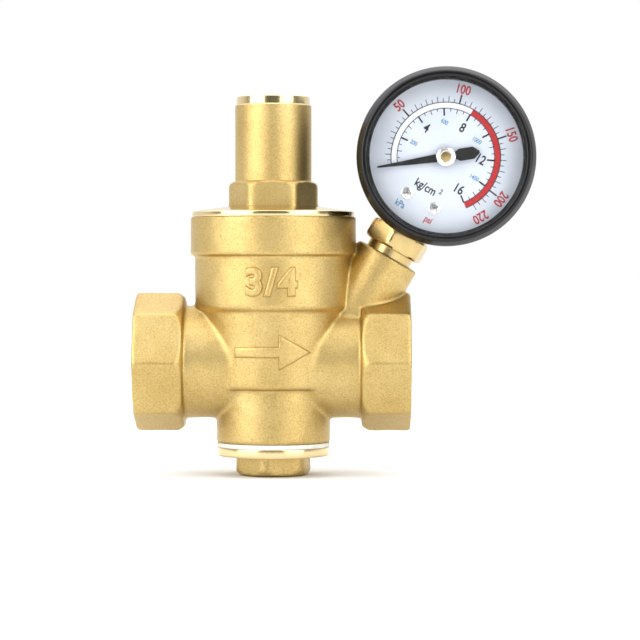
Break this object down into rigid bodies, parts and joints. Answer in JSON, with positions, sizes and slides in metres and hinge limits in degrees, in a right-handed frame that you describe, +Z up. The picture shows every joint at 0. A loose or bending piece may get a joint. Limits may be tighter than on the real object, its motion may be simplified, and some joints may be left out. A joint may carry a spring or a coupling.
{
  "type": "water pressure regulator",
  "caption": "Brass water pressure regulator with threaded ports, a spring-loaded piston valve, an adjusting screw in its tube and a dial pressure gauge on a slanted port.",
  "frame": {"origin": "centre of the inlet's mouth", "axes": "+X along the flow from inlet to outlet, +Z up the valve's own axis towards the adjusting screw, -Y out of the gauge's dial"},
  "size_m": [0.0967, 0.0402, 0.0986],
  "materials": {
    "cast_brass": "sand-blasted casting",
    "machined_brass": "turned, bright",
    "spring_steel": "drawn wire, oiled",
    "seal_rubber": "matte",
    "white_gasket": "matte",
    "black_enamel": "gloss enamel",
    "lens_glass": "polished",
    "dial_face": "satin, printed",
    "pointer_black": "satin",
    "bright_steel": "bright plated",
    "bronze_spring": "rolled strip"
  },
  "bodies": {
    "valve": {"valve_body": "cast_brass", "bonnet": "machined_brass", "bonnet_seal": "seal_rubber", "main_spring": "spring_steel", "bottom_plug": "machined_brass", "bottom_gasket": "white_gasket", "gauge_socket": "machined_brass", "gauge_case": "black_enamel", "case_screws": "bright_steel", "gauge_bezel": "black_enamel", "gauge_lens": "lens_glass", "lens_gasket": "seal_rubber", "gauge_dial": "dial_face", "dial_screws": "bright_steel", "bourdon_tube": "bronze_spring", "movement_back_plate": "machined_brass", "movement_front_plate": "machined_brass", "movement_pillars": "machined_brass", "movement_screws": "bright_steel", "hairspring": "bronze_spring"},
    "spring_seat": {"spring_seat": "machined_brass"},
    "screw": {"adjusting_screw": "machined_brass"},
    "piston": {"piston": "machined_brass", "piston_o_ring": "seal_rubber", "valve_disc": "seal_rubber", "disc_holder": "machined_brass", "disc_nut": "machined_brass"},
    "pointer": {"pointer": "pointer_black", "pointer_cap": "bright_steel", "pinion": "machined_brass"},
    "sector": {"sector_gear": "machined_brass"},
    "tube_end": {"tube_tip": "machined_brass", "link": "machined_brass"}
  },
  "joints": [
    {"name": "piston_slide", "type": "slide", "parent": "valve", "child": "piston", "axis": [0, 0, 1], "range_m": [0, 0.00235], "stiffness_N_per_m": 400, "springref_m": -0.005, "deforming": ["main_spring"]},
    {"name": "seat_slide", "type": "slide", "parent": "valve", "child": "spring_seat", "axis": [0, 0, -1], "range_m": [-0.00501, 0.00501], "deforming": ["main_spring"]},
    {"name": "screw_turn", "type": "hinge", "parent": "spring_seat", "child": "screw", "pos_m": [0.0335, 0, 0.054], "axis": [0, 0, -1], "range_deg": [-1200, 1200]},
    {"name": "pointer_turn", "type": "hinge", "parent": "valve", "child": "pointer", "pos_m": [0.07525, -0.009, 0.04962], "axis": [0, 1, 0], "range_deg": [0, 257], "stiffness_Nm_per_rad": 0.00002, "springref_deg": -11.46, "deforming": ["hairspring"]},
    {"name": "sector_turn", "type": "hinge", "parent": "valve", "child": "sector", "pos_m": [0.07797, -0.0017, 0.03947], "axis": [0, -1, 0], "range_deg": [0, 42.9]},
    {"name": "tube_end_turn", "type": "hinge", "parent": "valve", "child": "tube_end", "pos_m": [0.07525, 0.0055, 0.04962], "axis": [0, -1, 0], "range_deg": [0, 10.55], "deforming": ["bourdon_tube"]}
  ],
  "couplings": [
    {"joint": "seat_slide", "follows": "screw_turn", "m_per_rad": 0.00023873},
    {"joint": "sector_turn", "follows": "pointer_turn", "ratio": 0.16667},
    {"joint": "tube_end_turn", "follows": "pointer_turn", "ratio": 0.041028}
  ]
}
